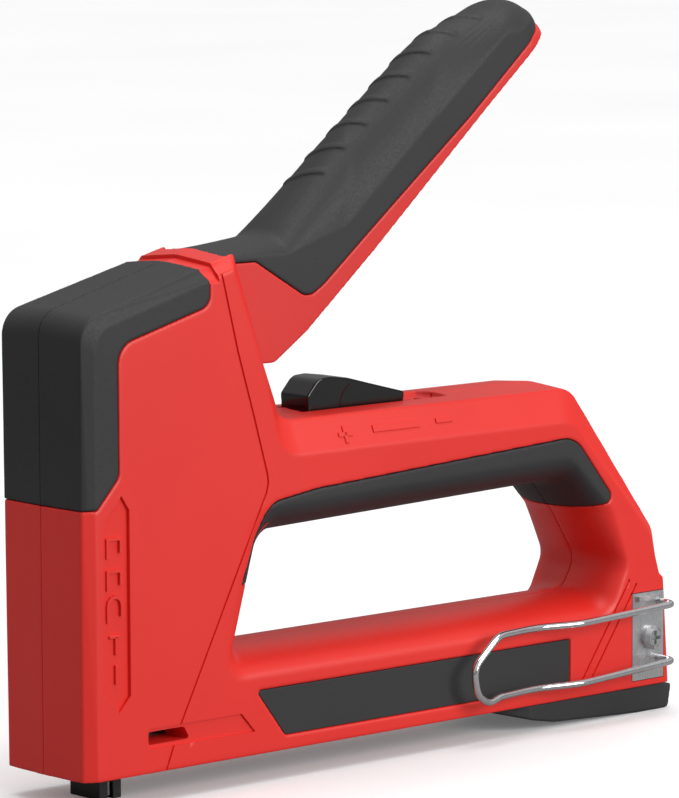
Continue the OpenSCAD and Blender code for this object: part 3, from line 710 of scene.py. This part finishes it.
# ------------------------------------------------------------------ belt hook
HOOK = [
    (183.8, -11, 30.5, 0), (183.8, -23, 30.5, 2.6),
    (148.1, -23, 29.1, 30), (134.6, -19.4, 29.2, 30),
    (119, -21.8, 29.2, 8), (109.4, -22.4, 21.6, 6), (110.6, -22.6, 14.4, 6),
    (115, -22.4, 11.6, 5), (119.5, -21.8, 12.8, 8), (134.6, -19.4, 12.8, 30),
    (148.1, -23, 12.9, 30), (183.8, -23, 14.8, 2.6), (183.8, -11, 14.8, 0)]
WIRE_R = 0.95


def bent_route(corners, steps=14):
    """Points along a bent wire, from corners with their bend radii."""
    route = []
    for i, (*p, r) in enumerate(corners):
        p = np.array(p)
        if r == 0:
            route.append(p)
            continue
        before, after = (np.array(corners[k][:3]) for k in (i - 1, i + 1))
        u, v = unit(before - p), unit(after - p)
        half = math.acos(u @ v) / 2
        reach = min(
            r / math.tan(half), *(np.linalg.norm(q - p) * 0.45 for q in (before, after)))
        for t in np.linspace(0, 1, steps):
            route.append(p + u * reach * (1 - t) ** 2 + v * reach * t**2)
    return route


def tube(route, r, around=20):
    """Round bar along a route, its section carried without twist."""
    rings, side = [], np.array((0.31, 0.27, 0.91))
    for i, p in enumerate(route):
        along = unit(route[min(i + 1, len(route) - 1)] - route[max(i - 1, 0)])
        side = unit(side - along * (side @ along))
        up = np.cross(along, side)
        turns = np.linspace(0, 2 * math.pi, around, endpoint=False)
        rings.append(p + r * (np.outer(np.cos(turns), side) + np.outer(np.sin(turns), up)))
    return smooth(skin(rings), 40)


wire = tube(bent_route(HOOK), WIRE_R)
finished(wire, "belt_loop", "housing", "chrome_wire", CHROME, "belt_hook_wire")

# ------------------------------------------------------------------ carried-over CAD nodes
for name, width in {
        "nose_piece": 0.35, "belt_hook_plate": 0.3, "belt_hook_screw": 0.25,
        "magazine_channel": 0.15, "magazine_latch": 0.08, "housing_screws": 0.2}.items():
    bevelled(nodes[name], width * MM, 40, 2)


# ------------------------------------------------------------------ springs carried by their bodies
def closing_spring(name, body):
    """Copy of a spring with a mesh of its own, carried by the body, in place of the CAD node."""
    coil = bpy.data.objects.new(f"{name}_coil", nodes[name].data.copy())
    bpy.context.scene.collection.objects.link(coil)
    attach(coil, body)
    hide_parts(name)
    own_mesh(coil)


closing_spring("pusher_spring", "magazine")
closing_spring("mainspring", "housing")

# ------------------------------------------------------------------ floor, light and camera
def area(name, place, size, power, target=(0.09, 0, 0.09), colour=(1, 1, 1)):
    light = bpy.data.lights.new(name, "AREA")
    light.shape, light.size, light.energy, light.color = "SQUARE", size, power, colour
    lamp = bpy.data.objects.new(name, light)
    lamp.location = place
    lamp.rotation_euler = (Vector(target) - Vector(place)).to_track_quat("-Z", "Y").to_euler()
    bpy.context.scene.collection.objects.link(lamp)


area("key", (0.55, -1.5, 0.6), 0.9, 17)
sun = bpy.data.objects.new("overhead", bpy.data.lights.new("overhead", "SUN"))
sun.data.energy, sun.data.angle = 1.4, math.radians(45)
bpy.context.scene.collection.objects.link(sun)

FLOOR_HALF = 8000
floor = made([
    (-FLOOR_HALF, -FLOOR_HALF, 0), (FLOOR_HALF, -FLOOR_HALF, 0),
    (FLOOR_HALF, FLOOR_HALF, 0), (-FLOOR_HALF, FLOOR_HALF, 0)], [(0, 1, 2, 3)])
floor.name = "floor"
pale, tree, shader, place = new_material("pale_floor")
tree.links.new(
    ramp(tree, noise(tree, place, 3, 2), (0.9, 0.9, 0.9), (0.93, 0.93, 0.93)),
    shader.inputs["Base Color"])
shader.inputs["Roughness"].default_value = 0.9
shader.inputs["Emission Color"].default_value = (1, 1, 1, 1)
shader.inputs["Emission Strength"].default_value = 0.12
# The floor looks pale to the camera, and throws little light up under the tool
dim, shown = tree.nodes.new("ShaderNodeBsdfDiffuse"), tree.nodes.new("ShaderNodeMixShader")
dim.inputs["Color"].default_value = (0.3, 0.3, 0.3, 1)
seen_by = tree.nodes.new("ShaderNodeLightPath")
tree.links.new(seen_by.outputs["Is Camera Ray"], shown.inputs["Fac"])
tree.links.new(dim.outputs[0], shown.inputs[1])
tree.links.new(shader.outputs[0], shown.inputs[2])
tree.links.new(shown.outputs[0], tree.nodes["Material Output"].inputs["Surface"])
floor.data.transform(Matrix.Scale(MM, 4))
floor.data.materials.append(pale)

world = bpy.data.worlds.new("studio")
bpy.context.scene.world = world
world.use_nodes = True
tree = world.node_tree
# The light comes from a sky that is brighter overhead; the camera sees plain white
sky, seen = tree.nodes["Background"], tree.nodes.new("ShaderNodeBackground")
height = tree.nodes.new("ShaderNodeSeparateXYZ")
tree.links.new(tree.nodes.new("ShaderNodeTexCoord").outputs["Generated"], height.inputs[0])
tree.links.new(
    ramp(tree, height.outputs["Z"], (0.2, 0.2, 0.2), (0.54, 0.54, 0.54), (0.1, 0.55)),
    sky.inputs["Color"])
seen.inputs["Color"].default_value = (1, 1, 1, 1)
both = tree.nodes.new("ShaderNodeMixShader")
seen_by = tree.nodes.new("ShaderNodeLightPath")
tree.links.new(seen_by.outputs["Is Camera Ray"], both.inputs["Fac"])
tree.links.new(sky.outputs[0], both.inputs[1])
tree.links.new(seen.outputs[0], both.inputs[2])
tree.links.new(both.outputs[0], tree.nodes["World Output"].inputs["Surface"])
bpy.context.scene.view_settings.view_transform = "Standard"

YAW, PITCH, ROLL = (math.radians(a) for a in (41.5, 7.12, 0.23))
forward = Vector((
    math.sin(YAW) * math.cos(PITCH), math.cos(YAW) * math.cos(PITCH), -math.sin(PITCH)))
right = Vector((math.cos(YAW), -math.sin(YAW), 0))
down = forward.cross(right)
across = right * math.cos(ROLL) + down * math.sin(ROLL)
drop = down * math.cos(ROLL) - right * math.sin(ROLL)
camera = bpy.data.objects.new("camera", bpy.data.cameras.new("camera"))
camera.data.lens, camera.data.sensor_width = 210.1, 36
camera.matrix_world = Matrix.Translation((-0.716, -0.9025, 0.24395)) @ Matrix(
    (across, -drop, -forward)).transposed().to_4x4()
bpy.context.scene.collection.objects.link(camera)
bpy.context.scene.camera = camera
